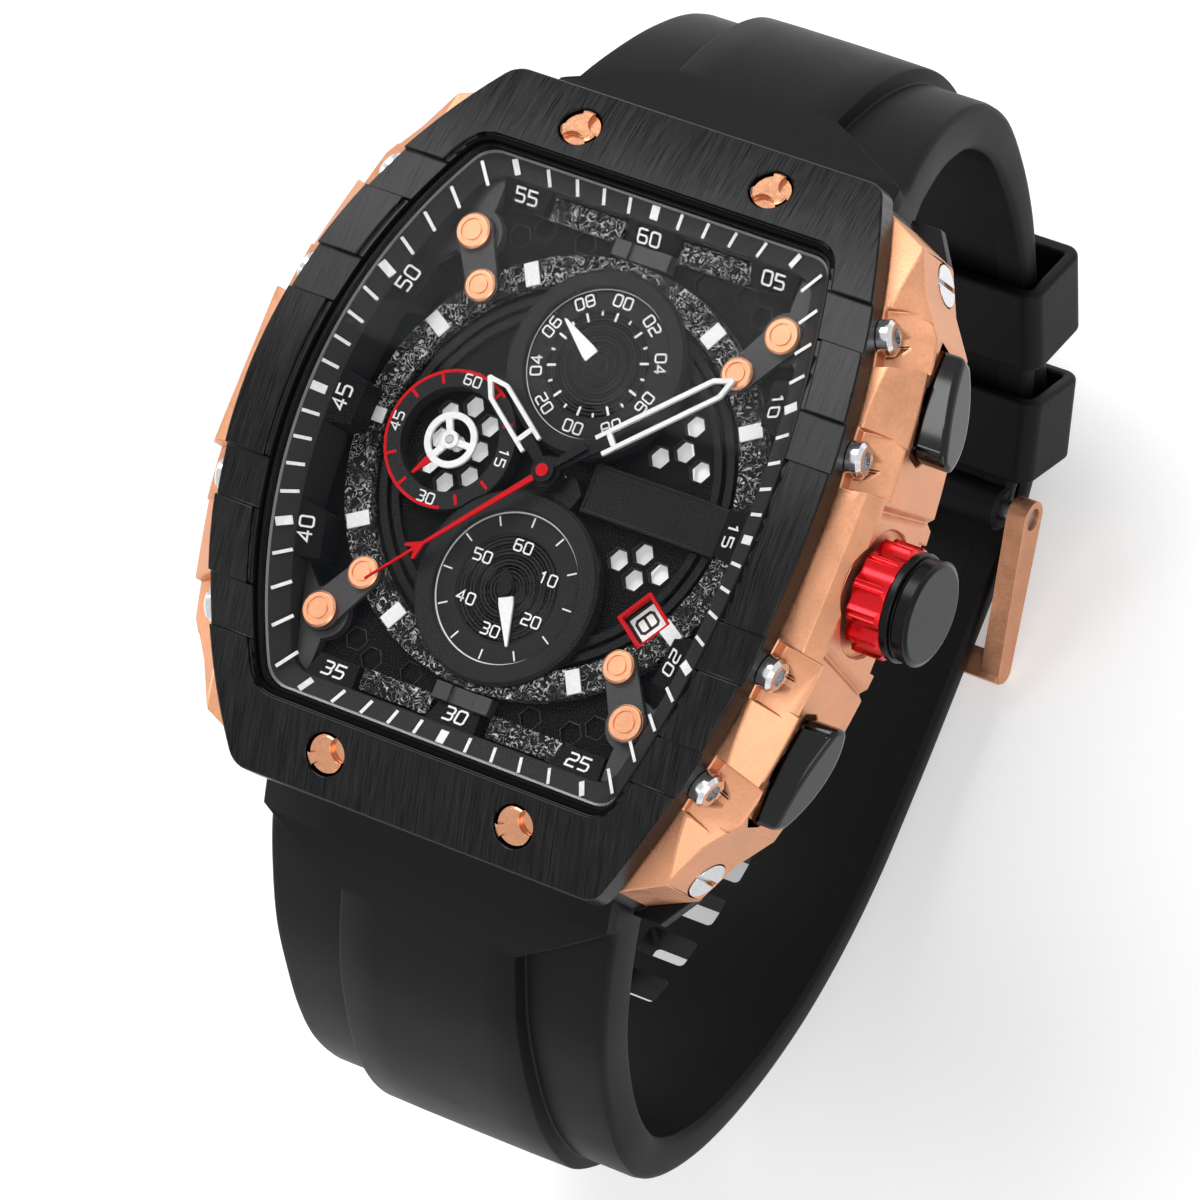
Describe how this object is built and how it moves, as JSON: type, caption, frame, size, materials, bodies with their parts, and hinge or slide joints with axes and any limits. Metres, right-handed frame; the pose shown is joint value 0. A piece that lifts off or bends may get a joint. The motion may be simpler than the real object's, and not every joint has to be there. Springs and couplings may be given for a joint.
{
  "type": "chronograph wristwatch",
  "caption": "Tonneau chronograph wristwatch with an arched screwed bezel, coloured side plates, an open honeycomb dial, crown, two pushers and a closed rubber strap with a pin buckle.",
  "frame": {"origin": "centre of the flat face of the case back", "axes": "+X towards the crown, +Y towards 12 o'clock, +Z out of the dial; the strap loop hangs below in -Z"},
  "size_m": [0.0503, 0.0757, 0.0561],
  "materials": {
    "black_case": "matte black, fine grain",
    "rose_metal": "rose-coloured plating, satin",
    "satin_dark": "satin dark grey",
    "steel": "satin",
    "movement_plastic": "matte",
    "crystal_glass": "clear",
    "gasket_rubber": "matte",
    "dial_black": "matte black",
    "ring_grey": "satin dark grey",
    "white_paint": "gloss white",
    "red_paint": "satin red",
    "red_rubber": "satin red",
    "strap_rubber": "matte, fine grain"
  },
  "bodies": {
    "case": {"bezel": "black_case", "mid_case": "black_case", "side_plate_right": "rose_metal", "side_plate_left": "rose_metal", "case_back": "satin_dark", "back_gasket": "gasket_rubber", "crystal": "crystal_glass", "crystal_gasket": "gasket_rubber", "flange_ring": "satin_dark", "dial_plate": "dial_black", "movement": "steel", "movement_ring": "movement_plastic", "dial_underlay": "white_paint", "battery": "steel", "chapter_ring": "ring_grey", "hour_markers": "white_paint", "arc_rings": "satin_dark", "dial_strips": "satin_dark", "small_dial_12": "dial_black", "small_dial_6": "dial_black", "small_dial_9": "dial_black", "name_bar": "dial_black", "corner_brackets": "satin_dark", "corner_links": "satin_dark", "link_studs": "rose_metal", "dial_clips": "satin_dark", "date_frame": "red_paint", "bezel_screws": "rose_metal", "side_screws": "steel", "lug_screws": "steel", "back_screws": "steel", "strap_bars": "steel", "crown_tube": "steel", "pusher_tubes": "steel", "center_post": "steel", "strap_upper": "strap_rubber", "strap_lower": "strap_rubber", "buckle_pin": "steel", "keeper_fixed": "strap_rubber"},
    "date_wheel": {"date_disc": "white_paint"},
    "hour": {"hour_hand": "white_paint"},
    "minute": {"minute_hand": "white_paint"},
    "chrono_seconds": {"seconds_hand": "red_paint"},
    "day_hand": {"hand_12": "white_paint"},
    "chrono_minutes": {"hand_6": "white_paint"},
    "small_seconds": {"wheel_9": "white_paint"},
    "stem": {"crown_stem": "steel"},
    "crown": {"crown_grip": "red_rubber", "crown_cap": "black_case"},
    "start_pusher": {"pusher_upper": "black_case"},
    "reset_pusher": {"pusher_lower": "black_case"},
    "buckle": {"buckle_frame": "rose_metal"},
    "tang": {"buckle_tang": "rose_metal"},
    "keeper": {"keeper_free": "strap_rubber"}
  },
  "joints": [
    {"name": "minute_turn", "type": "hinge", "parent": "case", "child": "minute", "pos_m": [0, 0, 0.0103], "axis": [0, 0, 1], "continuous": true},
    {"name": "hour_turn", "type": "hinge", "parent": "case", "child": "hour", "pos_m": [0, 0, 0.0099], "axis": [0, 0, 1], "continuous": true},
    {"name": "day_turn", "type": "hinge", "parent": "case", "child": "day_hand", "pos_m": [0, 0.00771, 0.0094], "axis": [0, 0, 1], "continuous": true},
    {"name": "chrono_turn", "type": "hinge", "parent": "case", "child": "chrono_seconds", "pos_m": [0, 0, 0.0107], "axis": [0, 0, 1], "continuous": true},
    {"name": "chrono_minute_turn", "type": "hinge", "parent": "case", "child": "chrono_minutes", "pos_m": [0, -0.00771, 0.0094], "axis": [0, 0, 1], "continuous": true},
    {"name": "small_seconds_turn", "type": "hinge", "parent": "case", "child": "small_seconds", "pos_m": [-0.00771, 0, 0.0094], "axis": [0, 0, 1], "continuous": true},
    {"name": "date_turn", "type": "hinge", "parent": "case", "child": "date_wheel", "pos_m": [0, 0, 0.0073], "axis": [0, 0, 1], "continuous": true},
    {"name": "crown_pull", "type": "slide", "parent": "case", "child": "stem", "axis": [1, 0, 0], "range_m": [0, 0.0015]},
    {"name": "crown_spin", "type": "hinge", "parent": "stem", "child": "crown", "pos_m": [0.0225, 0, 0.0071], "axis": [1, 0, 0], "continuous": true},
    {"name": "start_press", "type": "slide", "parent": "case", "child": "start_pusher", "axis": [-1, 0, 0], "range_m": [0, 0.0009], "stiffness_N_per_m": 400},
    {"name": "reset_press", "type": "slide", "parent": "case", "child": "reset_pusher", "axis": [-1, 0, 0], "range_m": [0, 0.0009], "stiffness_N_per_m": 400},
    {"name": "buckle_hinge", "type": "hinge", "parent": "case", "child": "buckle", "pos_m": [0, 0.0125, -0.0355], "axis": [1, 0, 0], "range_deg": [0, 3.5]},
    {"name": "tang_hinge", "type": "hinge", "parent": "buckle", "child": "tang", "pos_m": [0, 0.0125, -0.0355], "axis": [1, 0, 0], "range_deg": [0, 1.5]},
    {"name": "keeper_slide", "type": "slide", "parent": "case", "child": "keeper", "axis": [0, 0.66, 0.7513], "range_m": [-0.0012, 0.0012]}
  ],
  "couplings": [
    {"joint": "hour_turn", "follows": "minute_turn", "ratio": 0.083333},
    {"joint": "day_turn", "follows": "minute_turn", "ratio": 0.041667},
    {"joint": "chrono_minute_turn", "follows": "chrono_turn", "ratio": 0.016667}
  ]
}
